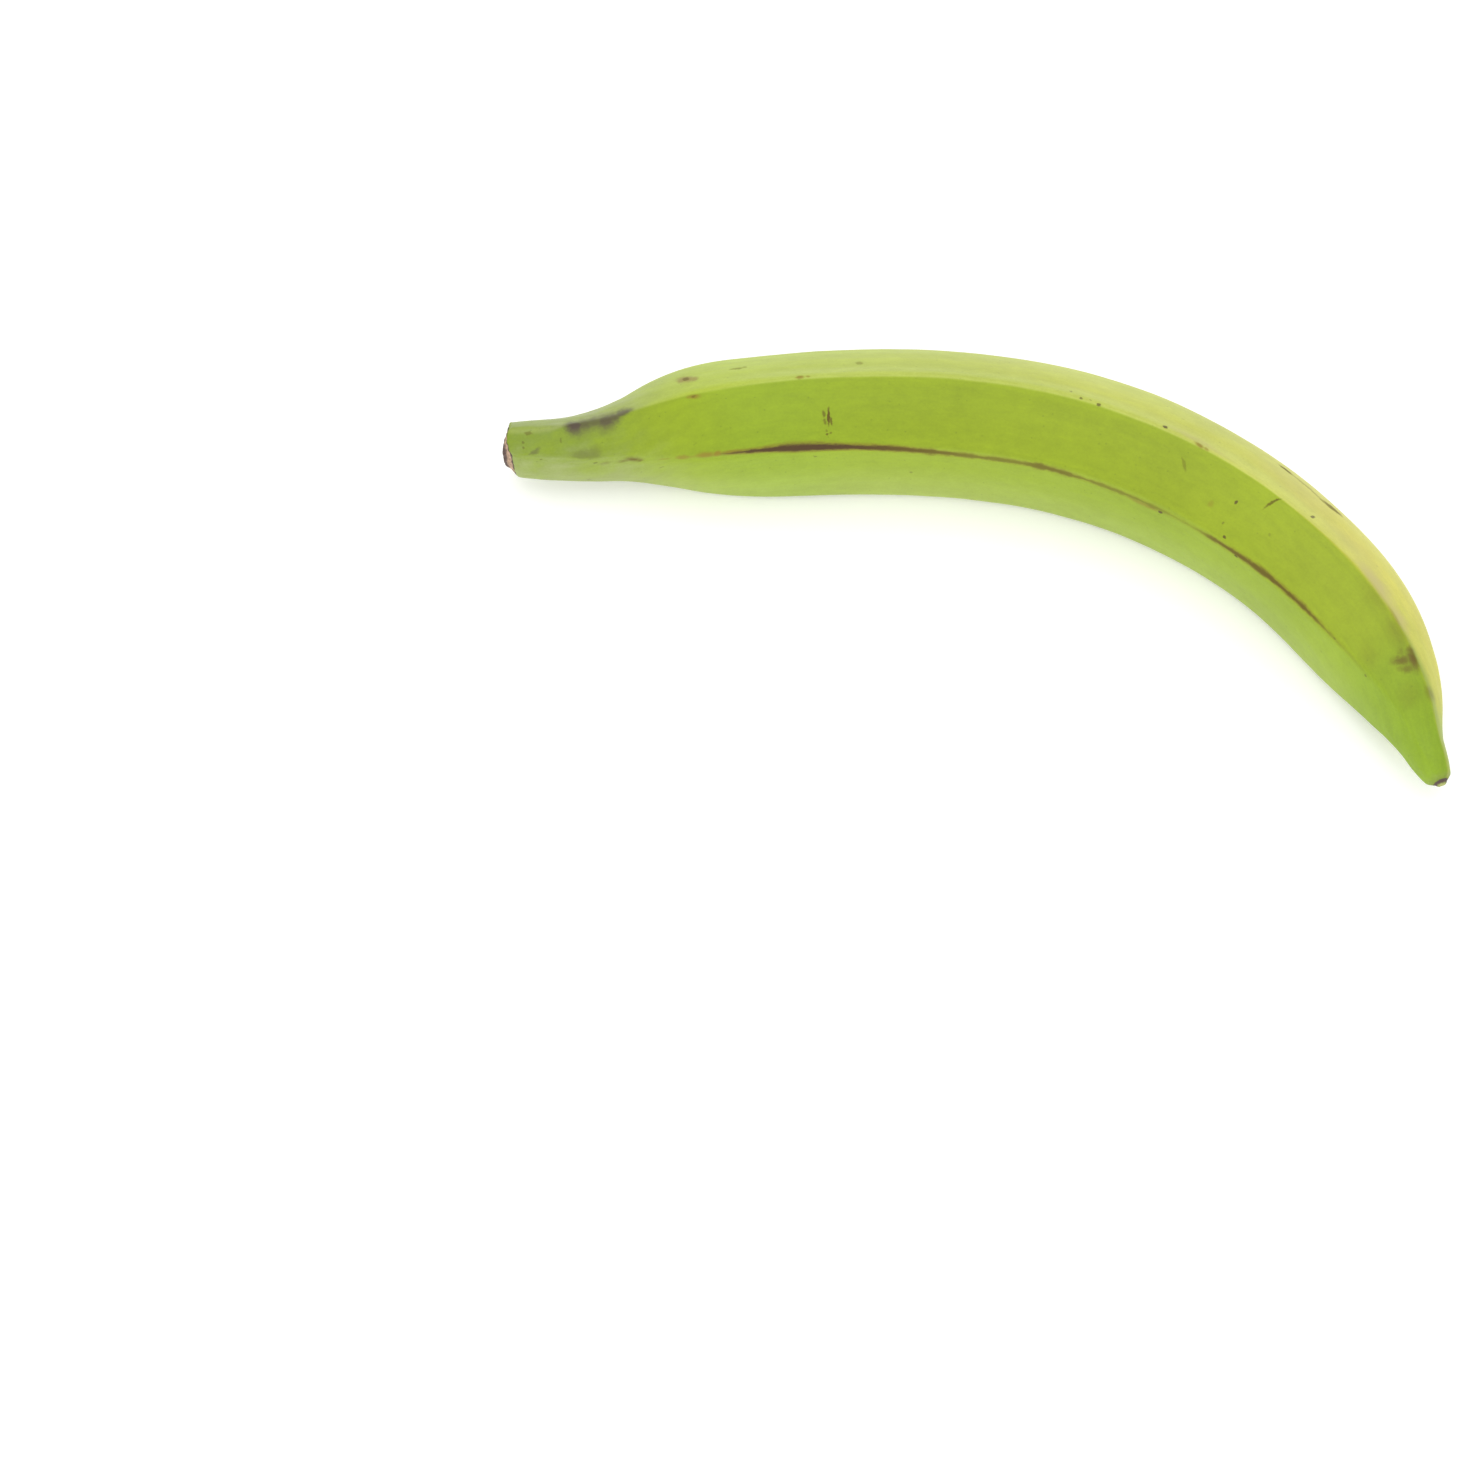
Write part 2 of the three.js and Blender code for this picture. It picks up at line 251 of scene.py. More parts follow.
# The folds' reach from both ends and the depth that the ends' colour ramps span, in mm.
STALK_FOLDS = 48
BEAK_FOLDS = 34
ENDS_RAMP = 8

PEEL_IOR = 1.42
WAX_ROUGHNESS = 0.36
DRY_ROUGHNESS = 0.3
BUMP_STRENGTH = 0.35
BUMP_HEIGHT = 0.12 * MM
FLOOR_SIZE = 12
FLOOR_ROUGHNESS = 0.9
WHITE = (1, 1, 1, 1)
CLIP_RANGE = (0.01, 50)


class PlantainForm(PropertyGroup):
    belly_radius: FloatProperty(
        name="Belly Radius", description="From the middle line to the ridges at the belly",
        default=22.7 * MM, unit="LENGTH")
    ridge_edge: FloatProperty(
        name="Ridge Edge", description="How far the hard edge of a ridge reaches at the belly",
        default=3.2 * MM, unit="LENGTH")
    levels: IntProperty(
        name="Smoothing", description="Subdivision levels of the skin", default=3, min=1, max=3)
    dents: FloatProperty(
        name="Dents", description="Height of the peel's slow unevenness",
        default=0.5 * MM, unit="LENGTH")
    wrinkles: FloatProperty(
        name="Wrinkles", description="Height of the folds along the stalk and the beak",
        default=0.55 * MM, unit="LENGTH")
    torn: FloatProperty(
        name="Torn Cut", description="Unevenness of the dried cut and the tip's scar",
        default=1.1 * MM, unit="LENGTH")


def colour_property(name, description, default):
    return FloatVectorProperty(
        name=name, description=description, default=default, subtype="COLOR", min=0, max=1)


class PlantainColours(PropertyGroup):
    green: colour_property("Green", "The sides of the peel", (0.228, 0.312, 0.001))
    # The upper outer side's colour: partly the peel's own paler green, partly painted light from above.
    lime_with_painted_light: colour_property("Lime", "The upper outer side", (0.36, 0.455, 0.03))
    yellow: colour_property("Yellow", "Where the peel ripens toward the tip", (0.545, 0.515, 0.05))
    straw: colour_property("Straw", "The palest yellow, on the outer edge", (0.6, 0.58, 0.15))
    leaf: colour_property("Leaf Green", "The inner side", (0.262, 0.355, 0.012))
    # Pale is painted on the inner side toward the underside as a painted reflection of the floor; the
    # tip's scar borrows it as a tint.
    pale: colour_property("Pale Green", "The inner side toward the underside", (0.395, 0.48, 0.11))
    deep: colour_property("Deep Green", "The sides toward the tip", (0.205, 0.318, 0.006))
    neck: colour_property("Neck Green", "The stalk under its bloom", (0.142, 0.21, 0.01))
    bloom: colour_property("Bloom", "The grey waxy bloom on the stalk", (0.3, 0.345, 0.115))
    cork: colour_property("Cork", "Dried brown marks", (0.1, 0.068, 0.002))
    scar: colour_property("Scar", "The dried line along the inner ridge", (0.066, 0.034, 0.008))
    rust: colour_property("Rust", "Thin orange-brown streaks", (0.225, 0.145, 0.004))
    smudge: colour_property("Smudge", "Soft olive-brown stains", (0.118, 0.084, 0.002))
    bruise: colour_property("Bruise", "Grey-brown bruises at both ends", (0.072, 0.05, 0.028))
    blush: colour_property("Blush", "Faint grey-pink rubbed places", (0.42, 0.34, 0.15))
    dried: colour_property("Dried", "The cut's rim and middle, the tip's scar", (0.075, 0.048, 0.04))
    core: colour_property("Core", "The pale flesh inside the cut's rim", (0.43, 0.29, 0.19))


class PlantainStudio(PropertyGroup):
    elevation: FloatProperty(
        name="Elevation", description="The camera's height above the horizon",
        default=math.radians(60), subtype="ANGLE")
    azimuth: FloatProperty(
        name="Azimuth", description="The camera's turn round the fruit",
        default=math.radians(22.3), subtype="ANGLE")
    distance: FloatProperty(
        name="Distance", description="From the camera to its aim", default=1.25, unit="LENGTH")
    lens: FloatProperty(name="Lens", description="Focal length in mm", default=105)
    aim: FloatVectorProperty(
        name="Aim", description="The point of the floor in the middle of the picture",
        default=(-48.0 * MM, -98.1 * MM, 0), subtype="TRANSLATION", unit="LENGTH")
    sky: FloatProperty(name="Sky", description="Strength of the even light", default=1.0)
    key: FloatProperty(name="Key", description="Power of the soft box above", default=4, unit="POWER")
    fill: FloatProperty(
        name="Fill", description="Power of the low soft box in front", default=5, unit="POWER")
    floor_tone: colour_property("Floor", "The pale floor", (0.88, 0.88, 0.875))
    floor_glow: FloatProperty(
        name="Floor Glow", description="Light that the floor, a light table, gives itself",
        default=0.22, min=0)


def section_points(form):
    """The section at the belly in metres: four points for each ridge."""
    corners = [
        Matrix.Rotation(math.radians(ridge.angle), 2) @ Vector((ridge.reach * form.belly_radius, 0))
        for ridge in RIDGES
    ]
    points = []
    for i, corner in enumerate(corners):
        before, after = corners[i - 1], corners[(i + 1) % len(corners)]
        swell_before, swell_after = RIDGES[i - 1].swell * MM, RIDGES[i].swell * MM
        points.append(side_point(corner, before, form.ridge_edge, -EDGE_SWELL * swell_before))
        points.append(corner)
        points.append(side_point(corner, after, form.ridge_edge, EDGE_SWELL * swell_after))
        points.append(side_point(corner, after, (after - corner).length / 2, swell_after))
    return points


def side_point(corner, toward, distance, off):
    """The point that far from a corner toward the next one, moved off the line."""
    run = (toward - corner).normalized()
    return corner + run * distance + Vector((run.y, -run.x)) * off


def station_distances():
    """Every station's distance along the middle line, in mm."""
    distances = [0.0]
    for a, b in zip(STATIONS, STATIONS[1:]):
        distances.append(distances[-1] + math.dist((a.x, a.y, a.z), (b.x, b.y, b.z)))
    return distances


DISTANCES = station_distances()
LENGTH = DISTANCES[-1]


def slope_at(i, value):
    """How fast a value changes at a station, from the slopes on both sides."""
    def slope(j):
        rise = getattr(STATIONS[j + 1], value) - getattr(STATIONS[j], value)
        return rise / (DISTANCES[j + 1] - DISTANCES[j])

    if i == 0:
        return slope(0)
    if i == len(STATIONS) - 1:
        return slope(i - 1)
    before = DISTANCES[i] - DISTANCES[i - 1]
    after = DISTANCES[i + 1] - DISTANCES[i]
    return (slope(i - 1) * after + slope(i) * before) / (before + after)


def value_at(distance, value):
    """A station value anywhere along the middle line, on a smooth curve."""
    i = 0
    while i < len(STATIONS) - 2 and distance > DISTANCES[i + 1]:
        i += 1
    span = DISTANCES[i + 1] - DISTANCES[i]
    t = (distance - DISTANCES[i]) / span
    start, end = getattr(STATIONS[i], value), getattr(STATIONS[i + 1], value)
    return (
        start * (2 * t**3 - 3 * t**2 + 1)
        + end * (3 * t**2 - 2 * t**3)
        + slope_at(i, value) * span * (t**3 - 2 * t**2 + t)
        + slope_at(i + 1, value) * span * (t**3 - t**2)
    )


def middle_at(distance):
    return Vector([value_at(distance, value) for value in "xyz"]) * MM


def ring_turn(distance):
    """The rotation of a ring: its X outwards, its Y up and its Z along the fruit."""
    step = 1
    along = middle_at(min(LENGTH, distance + step)) - middle_at(max(0, distance - step))
    along.normalize()
    outward = Vector((-along.y, along.x, 0)).normalized()
    up = along.cross(outward)
    plain = Matrix((outward, up, along)).transposed()
    return plain @ Matrix.Rotation(math.radians(value_at(distance, "twist")), 3, "Z")


def ring_distances():
    """Where the rings stand along the middle line, in mm."""
    zones = (
        (0, END_ZONE, END_SPACING),
        (END_ZONE, LENGTH - END_ZONE, BODY_SPACING),
        (LENGTH - END_ZONE, LENGTH, END_SPACING),
    )
    found = [0.0]
    for start, end, spacing in zones:
        count = round((end - start) / spacing)
        found += [start + (end - start) * i / count for i in range(1, count + 1)]
    return found


RingPlace = namedtuple("RingPlace", "centre turn size round along")


def ring_places(form):
    """Every ring from the middle of the cut to the middle of the tip's scar."""
    def place(distance, share=1.0, beyond=0.0, inner=0.0):
        turn = ring_turn(distance)
        centre = middle_at(distance) + (turn.col[2] * beyond - turn.col[0] * inner) * MM
        size = value_at(distance, "radius") * MM / form.belly_radius * share
        return RingPlace(centre, turn, size, value_at(distance, "round"), distance + beyond)

    rings = [place(0, ring.share, -ring.beyond, ring.inner) for ring in reversed(CUT_RINGS)]
    rings += [place(distance) for distance in ring_distances()]
    rings += [place(LENGTH, ring.share, ring.beyond) for ring in TIP_RINGS]
    return rings


def go_to(mode):
    bpy.ops.object.mode_set(mode=mode)


def deselect_all():
    if bpy.context.mode != "OBJECT":
        go_to("OBJECT")
    bpy.ops.object.select_all(action="DESELECT")


def select_points(mesh, wanted):
    """In edit mode, selects the points of these indices and no others."""
    bm = bmesh.from_edit_mesh(mesh)
    bm.verts.ensure_lookup_table()
    for vert in bm.verts:
        vert.select = False
    for index in wanted:
        bm.verts[index].select = True
    bm.select_flush_mode()
    bmesh.update_edit_mesh(mesh)


def turn_selection(turn, centre):
    """Turns what is selected about a point. With no window, rotate turns the other way."""
    for axis, angle in zip("XYZ", turn.to_euler()):
        bpy.ops.transform.rotate(value=-angle, orient_axis=axis, center_override=centre)


def resize_selection(factor, centre):
    bpy.ops.transform.resize(value=(factor,) * 3, center_override=centre)


def ease_ridges(mesh, first, reaches, centre, before, after):
    """Draws each point of a ring in or out as the section gets rounder or more ridged."""
    mean = sum(reaches) / len(reaches)
    for i, reach in enumerate(reaches):
        was = reach + (mean - reach) * before
        now = reach + (mean - reach) * after
        select_points(mesh, [first + i])
        resize_selection(now / was, centre)
    select_points(mesh, range(first, first + len(reaches)))


def shape_first_ring(mesh, points, place):
    """Draws the round primitive into the ridged section, where it stands."""
    for i, point in enumerate(points):
        goal = place.centre + place.turn @ point.to_3d()
        select_points(mesh, [i])
        bm = bmesh.from_edit_mesh(mesh)
        bm.verts.ensure_lookup_table()
        bpy.ops.transform.translate(value=goal - bm.verts[i].co)
    select_points(mesh, range(len(points)))
    resize_selection(place.size, place.centre)


def grow_cage(form, rings):
    """Extrudes the section ring by ring along the middle line and closes both ends."""
    points = section_points(form)
    reaches = [point.length for point in points]
    first = rings[0]
    bpy.ops.mesh.primitive_circle_add(
        vertices=POINTS_AROUND, radius=form.belly_radius, fill_type="NGON", location=(0, 0, 0))
    fruit = bpy.context.object
    go_to("EDIT")
    bpy.ops.mesh.select_mode(type="VERT")
    shape_first_ring(fruit.data, points, first)
    ease_ridges(fruit.data, 0, reaches, first.centre, 0, first.round)
    for i, (last, ring) in enumerate(zip(rings, rings[1:]), start=1):
        step = ring.centre - last.centre
        bpy.ops.mesh.extrude_region_move(TRANSFORM_OT_translate={"value": step})
        turn_selection(ring.turn @ last.turn.transposed(), ring.centre)
        resize_selection(ring.size / last.size, ring.centre)
        if ring.round != last.round:
            start = i * POINTS_AROUND
            ease_ridges(fruit.data, start, reaches, ring.centre, last.round, ring.round)
    go_to("OBJECT")
    return fruit


def tear_rim(fruit, rings):
    """Draws the cut's edge, and less and less of what lies inside it, out or in."""
    go_to("EDIT")
    for i, (ring, end) in enumerate(zip(rings, reversed(CUT_RINGS))):
        for point, out in CUT_EDGE.items():
            select_points(fruit.data, [i * POINTS_AROUND + point])
            bpy.ops.transform.translate(value=-ring.turn.col[2] * out * end.share**2 * MM)
    go_to("OBJECT")


def share_of(point):
    """A ring point's place round the section, in turns from the middle of the underside."""
    return ((point - SEAM_POINT) % POINTS_AROUND) / POINTS_AROUND


def ring_lengths(mesh, rings):
    """Each ring's girth, and its place along the peel, negative on the cut, in metres."""
    def points(i):
        return [v.co for v in mesh.vertices[i * POINTS_AROUND:(i + 1) * POINTS_AROUND]]

    girths = []
    for i in range(len(rings)):
        loop = points(i)
        girths.append(sum((a - b).length for a, b in zip(loop, loop[1:] + loop[:1])))
    places = [ring.along * MM for ring in rings]
    body_start = len(CUT_RINGS)
    body_end = len(rings) - 1 - len(TIP_RINGS)
    steps = [
        sum((a - b).length for a, b in zip(points(i), points(i + 1))) / POINTS_AROUND
        for i in range(len(rings) - 1)
    ]
    for i in range(body_start - 1, -1, -1):
        places[i] = places[i + 1] - steps[i]
    for i in range(body_end + 1, len(rings)):
        places[i] = places[i - 1] + steps[i - 1]
    return girths, places


def map_peel(fruit, rings):
    """Lays two maps on the cage, with their seam under the fruit.

    The peel map is in metres: along the fruit, and round it from the top ridge. The
    ridge map has the same places as shares of the fruit's length and of a turn.
    """
    mesh = fruit.data
    girths, places = ring_lengths(mesh, rings)
    peel_map = mesh.uv_layers.new(name=PEEL_MAP)
    ridge_map = mesh.uv_layers.new(name=RIDGE_MAP)
    for face in mesh.polygons:
        shares = [share_of(mesh.loops[i].vertex_index % POINTS_AROUND) for i in face.loop_indices]
        crosses = len(shares) == 4 and max(shares) - min(shares) > 0.5
        for i, share in zip(face.loop_indices, shares):
            ring = mesh.loops[i].vertex_index // POINTS_AROUND
            if crosses and share < 0.5:
                share += 1
            peel_map.data[i].uv = places[ring], (share - TURN["top"]) * girths[ring]
            ridge_map.data[i].uv = places[ring] / (LENGTH * MM), share


def weigh_zones(fruit, rings):
    """Vertex groups that say how much each kind of relief shows, ring by ring."""
    def fade(value, full, none):
        return min(1.0, max(0.0, (value - none) / (full - none)))

    def zones(at):
        """How much each kind shows at a distance along the fruit, in mm."""
        left = LENGTH - at
        return {
            "stalk": fade(at, STALK_FOLDS * 0.4, STALK_FOLDS) * fade(at, 1, -1),
            "beak": fade(left, 12, BEAK_FOLDS) * fade(left, 0, -1),
            "body": fade(at, 30, 8) * fade(left, 30, 6),
            "ends": 0.7 * max(fade(at, -1.5, -1.2), 0.6 * fade(left, -1.2, -0.2)),
        }

    for name in zones(0):
        group = fruit.vertex_groups.new(name=name)
        for i, ring in enumerate(rings):
            points = list(range(i * POINTS_AROUND, (i + 1) * POINTS_AROUND))
            group.add(points, zones(ring.along)[name], "REPLACE")


def apply_modifier(fruit, kind, name, **settings):
    modifier = fruit.modifiers.new(name, kind)
    for key, value in settings.items():
        setattr(modifier, key, value)
    bpy.ops.object.modifier_apply(modifier=modifier.name)


def smooth_skin(fruit, levels):
    apply_modifier(
        fruit, "SUBSURF", "smooth skin",
        levels=levels, render_levels=levels, use_limit_surface=True)
    bpy.ops.object.shade_smooth()


def set_in_frame(fruit):
    """Moves the skin across so that the middle of its box is the CAD box's in X and Y; its height
    stays.
    """
    low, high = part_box(NODE)
    corners = [Vector(corner) for corner in fruit.bound_box]
    middle = (corners[0] + corners[6]) / 2
    wanted = (low + high) / 2
    go_to("EDIT")
    bpy.ops.mesh.select_all(action="SELECT")
    bpy.ops.transform.translate(value=(wanted.x - middle.x, wanted.y - middle.y, 0))
    go_to("OBJECT")


def add_relief(fruit, form):
    """Slow dents over the body, folds along both ends, and the torn faces of the ends."""
    stalk_axis = middle_at(STALK_FOLDS) - middle_at(0)
    beak_axis = middle_at(LENGTH) - middle_at(LENGTH - BEAK_FOLDS)
    for group, size, stretch, axis, height in (
        ("body", 26 * MM, 1, None, form.dents),
        ("stalk", 3.4 * MM, 7, stalk_axis, form.wrinkles),
        ("beak", 2.6 * MM, 6, beak_axis, form.wrinkles * 0.6),
        ("ends", 1.7 * MM, 1, None, form.torn),
    ):
        texture = bpy.data.textures.new(f"{group} relief", "CLOUDS")
        texture.noise_scale = size
        texture.noise_depth = 2
        settings = dict(
            texture=texture, strength=height, mid_level=0.5, vertex_group=group,
            direction="NORMAL", texture_coords="LOCAL")
        guide = None
        if axis is not None:
            guide = bpy.data.objects.new("relief guide", None)
            bpy.context.collection.objects.link(guide)
            guide.rotation_mode = "QUATERNION"
            guide.rotation_quaternion = axis.to_track_quat("X", "Z")
            guide.scale = (stretch, 1, 1)
            bpy.context.view_layer.update()
            settings.update(texture_coords="OBJECT", texture_coords_object=guide)
        apply_modifier(fruit, "DISPLACE", f"{group} relief", **settings)
        if guide:
            bpy.data.objects.remove(guide)
        bpy.data.textures.remove(texture)


def press_flat(fruit):
    """Presses the underside onto the surface that the fruit lies on."""
    go_to("EDIT")
    below = [vert.index for vert in bmesh.from_edit_mesh(fruit.data).verts if vert.co.z < 0]
    select_points(fruit.data, below)
    bpy.ops.transform.resize(value=(1, 1, 0), center_override=(0, 0, 0))
    go_to("OBJECT")


# Here places on the peel are in mm, turns are shares of the way round the section,
# and strengths go from 0 to 1.
class Wiring:
    """Adds shader nodes to a node tree and joins them."""

    def __init__(self, tree):
        self.tree = tree

    def feed(self, socket, value):
        if isinstance(value, bpy.types.NodeSocket):
            self.tree.links.new(value, socket)
        elif value is not None:
            socket.default_value = value

    def add(self, kind, *values, **settings):
        """A node with its settings made and its first inputs fed, in order."""
        node = self.tree.nodes.new("ShaderNode" + kind)
        for key, value in settings.items():
            setattr(node, key, value)
        for socket, value in zip(node.inputs, values):
            self.feed(socket, value)
        return node

    def math(self, operation, *values, clamp=False):
        return self.add("Math", *values, operation=operation, use_clamp=clamp).outputs[0]

    def times(self, a, b, clamp=False):
        return self.math("MULTIPLY", a, b, clamp=clamp)

    def times_plus(self, a, b, c):
        return self.math("MULTIPLY_ADD", a, b, c)

    def centred(self, noise):
        return self.math("SUBTRACT", noise, 0.5)

    def vector(self, operation, *values):
        node = self.add("VectorMath", *values, operation=operation)
        return node.outputs["Value" if operation in ("LENGTH", "DISTANCE") else "Vector"]

    def step(self, value, start, end, low=0.0, high=1.0):
        """Rises or falls smoothly from low to high as value goes from start to end."""
        node = self.add("MapRange", value, start, end, low, high, interpolation_type="SMOOTHSTEP")
        return node.outputs[0]

    def grey(self, value):
        return self.add("CombineXYZ", value, value, value).outputs[0]

    def noise(self, place, scale, detail=2.0, roughness=0.5, output=0):
        node = self.add("TexNoise")
        for name, value in (
            ("Vector", place), ("Scale", scale), ("Detail", detail), ("Roughness", roughness),
        ):
            self.feed(node.inputs[name], value)
        return node.outputs[output]

    def mix(self, factor, below, above, blend="MIX"):
        node = self.add("Mix")
        node.data_type = "RGBA"
        node.blend_type = blend
        colours = [socket for socket in node.inputs if socket.type == "RGBA"]
        self.feed(node.inputs["Factor"], factor)
        self.feed(colours[0], below)
        self.feed(colours[1], above)
        return next(socket for socket in node.outputs if socket.type == "RGBA")

    def ramp(self, factor, stops):
        """A colour ramp with (place, colour) stops."""
        node = self.add("ValToRGB", factor)
        elements = node.color_ramp.elements
        while len(elements) < len(stops):
            elements.new(1.0)
        for element, (place, colour) in zip(elements, stops):
            element.position = place
            element.color = colour
        return node.outputs[0]

    def curve(self, value, points):
        """A smooth curve through (from, to) points, all from 0 to 1."""
        node = self.add("FloatCurve", 1.0, value)
        line = node.mapping.curves[0].points
        while len(line) < len(points):
            line.new(0.5, 0.5)
        for point, place in zip(line, points):
            point.location = place
        node.mapping.update()
        return node.outputs[0]


def opaque(colour, brightness=1.0):
    return (*(channel * brightness for channel in colour), 1.0)


def blend(a, b, share):
    return tuple(x + (y - x) * share for x, y in zip(a, b))


class PeelWiring(Wiring):
    """The peel's wiring, which knows where a point of the peel is."""

    def __init__(self, tree):
        super().__init__(tree)
        self.solid = self.add("TexCoord").outputs["Object"]
        self.peel = self.add("UVMap", uv_map=PEEL_MAP).outputs[0]
        ridge = self.add("UVMap", uv_map=RIDGE_MAP).outputs[0]
        self.share, self.turn = self.add("SeparateXYZ", ridge).outputs[:2]
        along, around = self.add("SeparateXYZ", self.peel).outputs[:2]
        self.along, self.around = self.times(along, 1 / MM), self.times(around, 1 / MM)
        self.sided = self.drifted()

    def drifted(self):
        """The turn as the colours take it: their edge at the top ridge wanders off it."""
        waver = self.centred(self.noise(self.solid, 60, 3))
        turn = self.times_plus(waver, 0.009, self.turn)
        drift = self.over_length((at, off + MOST_DRIFT) for at, off in EDGE_DRIFT)
        drift = self.math("SUBTRACT", drift, MOST_DRIFT)
        near = self.step(self.turn, 0.68, 0.6)
        return self.times_plus(drift, near, turn)

    def over_length(self, values):
        """A curve through (distance along the fruit in mm, value) pairs."""
        return self.curve(self.share, [(distance / LENGTH, value) for distance, value in values])

    def stretched(self, along, around):
        """The peel map scaled so that a noise of scale 1 has features this long and wide, in mm."""
        return self.add(
            "Mapping", self.peel, (0, 0, 0), (0, 0, 0),
            (1 / (along * MM), 1 / (around * MM), 1)).outputs[0]


def wavered(wires, place, scale, reach):
    """A place moved a little by noise, so that what is drawn there has rough edges."""
    noise = wires.noise(place, scale, 3, output="Color")
    off = wires.vector("SUBTRACT", noise, (0.5, 0.5, 0.5))
    return wires.vector("MULTIPLY_ADD", off, (reach * 2, reach * 2, 0), place)


def marks_mask(wires, place, marks, softness):
    """Where a kind of mark shows, from 0 to its strength, with an edge as wide as softness."""
    mask = None
    for mark in marks:
        middle = (mark.along * MM, mark.around * MM, 0)
        if mark.length == mark.width:
            reach = wires.vector("DISTANCE", place, middle)
            size = mark.width * MM
        else:
            fitted = wires.add(
                "Mapping", place, middle, (0, 0, math.radians(mark.slant)),
                (mark.length * MM, mark.width * MM, 1), vector_type="TEXTURE").outputs[0]
            reach = wires.vector("LENGTH", fitted)
            size = 1
        spot = wires.step(reach, (1 + softness) * size, (1 - softness) * size, 0, mark.strength)
        mask = spot if mask is None else wires.math("MAXIMUM", mask, spot)
    return mask


def side_colours(wires, colours):
    """The peel's colours: each side, with painted light on the upper outer side, below the top ridge
    and low on the inner side, the ripening and the fresher inner side.
    """
    green, lime_with_painted_light, leaf = colours.green, colours.lime_with_painted_light, colours.leaf
    turn = wires.sided
    sides = wires.ramp(turn, (
        # The underside is painted pale too, the same painted reflection of the floor.
        (0, opaque(colours.pale)),
        (TURN["outer foot"], opaque(blend(colours.pale, lime_with_painted_light, 0.6))),
        # The upper outer side: partly its own paler green, partly painted light from above.
        (TURN["outer"], opaque(lime_with_painted_light)),
        (0.505, opaque(lime_with_painted_light)),
        # Just below the top ridge the green is painted lighter, a painted highlight that fades down the
        # side.
        (0.519, opaque(green, 1.1)),
        (0.56, opaque(green, 1.05)),
        (0.62, opaque(green)),
        (0.675, opaque(green)),
        (0.72, opaque(blend(green, leaf, 0.8))),
        (0.77, opaque(leaf)),
        # Toward the underside the inner side is painted paler, a painted reflection of the floor.
        (0.86, opaque(blend(leaf, colours.pale, 0.6))),
        (TURN["inner foot"], opaque(colours.pale)),
    ))
    # The edge at the top ridge gets softer toward the tip.
    later = wires.step(wires.along, 225, 285)
    outer = wires.step(
        turn, wires.times_plus(later, 0.044, 0.516), wires.times_plus(later, 0.004, 0.5))
    outer = wires.times(outer, wires.step(turn, 0.05, 0.16))
    inner = wires.step(turn, 0.67, 0.73)
    peel = ripened(wires, sides, colours, outer, inner)
    peel = greened(wires, peel, colours, outer, inner)
    return ridge_tones(wires, peel, colours)


def ripened(wires, peel, colours, outer, inner):
    """Turns the outer side yellow toward the tip, and the upper inner side a little."""
    ripe = wires.over_length(RIPENESS)
    patches = wires.noise(wires.stretched(60, 14), 1, 2)
    ripe = wires.times(ripe, wires.step(patches, 0.2, 0.75, 0.75, 1.1))
    upper = wires.times(wires.math("SUBTRACT", 1, outer), wires.math("SUBTRACT", 1, inner))
    yellowed = wires.times_plus(upper, 0.09, outer)
    yellowed = wires.times(ripe, yellowed, clamp=True)
    low_down = wires.step(wires.sided, 0.43, 0.33)
    yellow = wires.mix(low_down, opaque(colours.yellow), opaque(colours.straw))
    return wires.mix(yellowed, peel, yellow)


def greened(wires, peel, colours, outer, inner):
    """The inner side gets fresher toward the tip, and every side where the tip narrows."""
    fresh = wires.times(wires.over_length(FRESHNESS), inner)
    peel = wires.mix(fresh, peel, opaque(blend(colours.deep, colours.leaf, 0.5)))
    deep = wires.over_length(DEPTH)
    spared = wires.times(outer, wires.step(wires.along, 316, 300))
    deep = wires.times(deep, wires.math("SUBTRACT", 1, spared))
    return wires.mix(deep, peel, opaque(colours.deep))


def ridge_tones(wires, peel, colours):
    """What the top ridge looks like: a painted highlight along it over the body, green over the tip."""
    turn = wires.sided
    # A painted highlight: a paler, whiter band on the upper side next to the ridge, along the body.
    painted_ridge_highlight = wires.times(wires.step(turn, 0.42, 0.46), wires.step(turn, 0.515, 0.505))
    body = wires.times(wires.step(wires.along, 50, 90), wires.step(wires.along, 280, 240))
    painted_ridge_highlight = wires.times(wires.times(painted_ridge_highlight, body), 0.35)
    peel = wires.mix(painted_ridge_highlight, peel, opaque(blend(colours.lime_with_painted_light, (1, 1, 0.8), 0.16)))
    crown = wires.times(wires.step(wires.turn, 0.53, 0.48), wires.step(turn, 0.49, 0.52))
    crown = wires.times(crown, wires.step(wires.along, 266, 290))
    crown_colour = opaque(blend(colours.green, colours.yellow, 0.4))
    return wires.mix(wires.times(crown, 0.45), peel, crown_colour)


def neck_and_bloom(wires, peel, colours):
    """The stalk is greener, with a grey waxy bloom that is thickest on its sides."""
    cloudy = wires.noise(wires.stretched(9, 5), 1, 4, 0.6)
    near = wires.step(wires.along, 50, 6)
    neck = wires.times(near, wires.step(cloudy, 0.2, 0.7, 0.4, 1), clamp=True)
    peel = wires.mix(wires.times(neck, 0.9), peel, opaque(colours.neck))
    outer = wires.times(wires.step(wires.sided, 0.53, 0.495), wires.step(wires.along, 2, 20, 0.6, 1))
    patchy = wires.times_plus(wires.centred(cloudy), 0.3, wires.turn)
    inner = wires.step(patchy, 0.57, 0.84, 0, 0.9)
    sides = wires.times_plus(wires.math("ADD", outer, inner), 0.9, 0.1)
    bloom = wires.times(wires.step(wires.along, 58, 22), sides)
    bloom = wires.times(bloom, wires.step(cloudy, 0.25, 0.75, 0.4, 0.85), clamp=True)
    return wires.mix(bloom, peel, opaque(colours.bloom))


